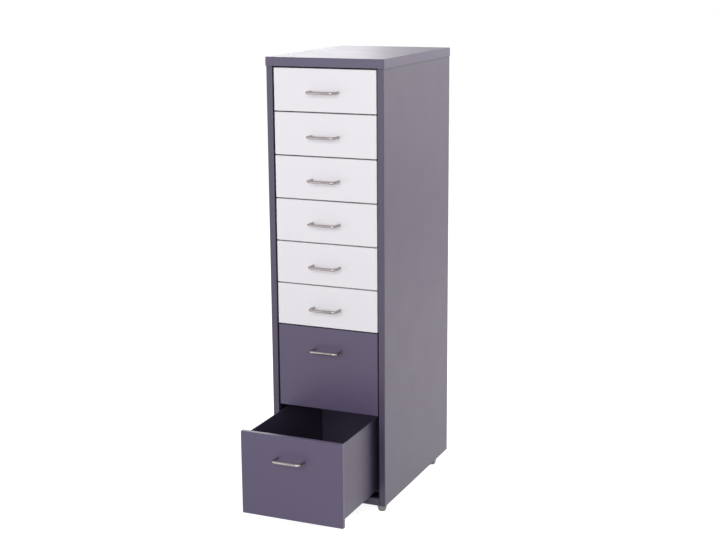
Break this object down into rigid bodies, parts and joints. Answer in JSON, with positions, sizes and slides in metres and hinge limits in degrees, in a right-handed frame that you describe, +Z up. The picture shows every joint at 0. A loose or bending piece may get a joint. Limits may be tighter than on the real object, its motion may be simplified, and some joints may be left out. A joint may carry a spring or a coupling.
{
  "type": "drawer cabinet",
  "caption": "Tall narrow steel drawer cabinet with a folded carcass, white and slate drawer fronts, bow handles, sliding drawers and small feet.",
  "frame": {"origin": "on the floor, in the middle of the bounding box of the pose in the picture, with the lowest drawer pulled out 194 mm", "axes": "+Z up, +X to the right of someone facing the drawers, -Y out of the drawer fronts"},
  "size_m": [0.28, 0.6332, 1.014],
  "materials": {
    "slate_paint": "satin powder coat",
    "white_paint": "satin powder coat",
    "handle_metal": "satin nickel plate",
    "foot_plastic": "matte",
    "screw_steel": "zinc plate"
  },
  "bodies": {
    "carcass": {"top_panel": "slate_paint", "base_panel": "slate_paint", "left_side_panel": "slate_paint", "right_side_panel": "slate_paint", "back_panel": "slate_paint", "runner_left_1": "slate_paint", "runner_right_1": "slate_paint", "runner_left_2": "slate_paint", "runner_right_2": "slate_paint", "runner_left_3": "slate_paint", "runner_right_3": "slate_paint", "runner_left_4": "slate_paint", "runner_right_4": "slate_paint", "runner_left_5": "slate_paint", "runner_right_5": "slate_paint", "runner_left_6": "slate_paint", "runner_right_6": "slate_paint", "runner_left_7": "slate_paint", "runner_right_7": "slate_paint", "runner_left_8": "slate_paint", "runner_right_8": "slate_paint", "foot_front_left": "foot_plastic", "foot_front_right": "foot_plastic", "foot_rear_left": "foot_plastic", "foot_rear_right": "foot_plastic", "foot_screws": "screw_steel", "panel_screws": "screw_steel"},
    "drawer_1": {"drawer_1_front": "white_paint", "drawer_1_tray": "white_paint", "drawer_1_handle": "handle_metal", "drawer_1_handle_screws": "screw_steel"},
    "drawer_2": {"drawer_2_front": "white_paint", "drawer_2_tray": "white_paint", "drawer_2_handle": "handle_metal", "drawer_2_handle_screws": "screw_steel"},
    "drawer_3": {"drawer_3_front": "white_paint", "drawer_3_tray": "white_paint", "drawer_3_handle": "handle_metal", "drawer_3_handle_screws": "screw_steel"},
    "drawer_4": {"drawer_4_front": "white_paint", "drawer_4_tray": "white_paint", "drawer_4_handle": "handle_metal", "drawer_4_handle_screws": "screw_steel"},
    "drawer_5": {"drawer_5_front": "white_paint", "drawer_5_tray": "white_paint", "drawer_5_handle": "handle_metal", "drawer_5_handle_screws": "screw_steel"},
    "drawer_6": {"drawer_6_front": "white_paint", "drawer_6_tray": "white_paint", "drawer_6_handle": "handle_metal", "drawer_6_handle_screws": "screw_steel"},
    "drawer_7": {"drawer_7_front": "slate_paint", "drawer_7_tray": "slate_paint", "drawer_7_handle": "handle_metal", "drawer_7_handle_screws": "screw_steel"},
    "drawer_8": {"drawer_8_front": "slate_paint", "drawer_8_tray": "slate_paint", "drawer_8_handle": "handle_metal", "drawer_8_handle_screws": "screw_steel"}
  },
  "joints": [
    {"name": "drawer_1_slide", "type": "slide", "parent": "carcass", "child": "drawer_1", "axis": [0, -1, 0], "range_m": [0, 0.275]},
    {"name": "drawer_2_slide", "type": "slide", "parent": "carcass", "child": "drawer_2", "axis": [0, -1, 0], "range_m": [0, 0.275]},
    {"name": "drawer_3_slide", "type": "slide", "parent": "carcass", "child": "drawer_3", "axis": [0, -1, 0], "range_m": [0, 0.275]},
    {"name": "drawer_4_slide", "type": "slide", "parent": "carcass", "child": "drawer_4", "axis": [0, -1, 0], "range_m": [0, 0.275]},
    {"name": "drawer_5_slide", "type": "slide", "parent": "carcass", "child": "drawer_5", "axis": [0, -1, 0], "range_m": [0, 0.275]},
    {"name": "drawer_6_slide", "type": "slide", "parent": "carcass", "child": "drawer_6", "axis": [0, -1, 0], "range_m": [0, 0.275]},
    {"name": "drawer_7_slide", "type": "slide", "parent": "carcass", "child": "drawer_7", "axis": [0, -1, 0], "range_m": [0, 0.275]},
    {"name": "drawer_8_slide", "type": "slide", "parent": "carcass", "child": "drawer_8", "axis": [0, -1, 0], "range_m": [-0.194, 0.081]}
  ]
}
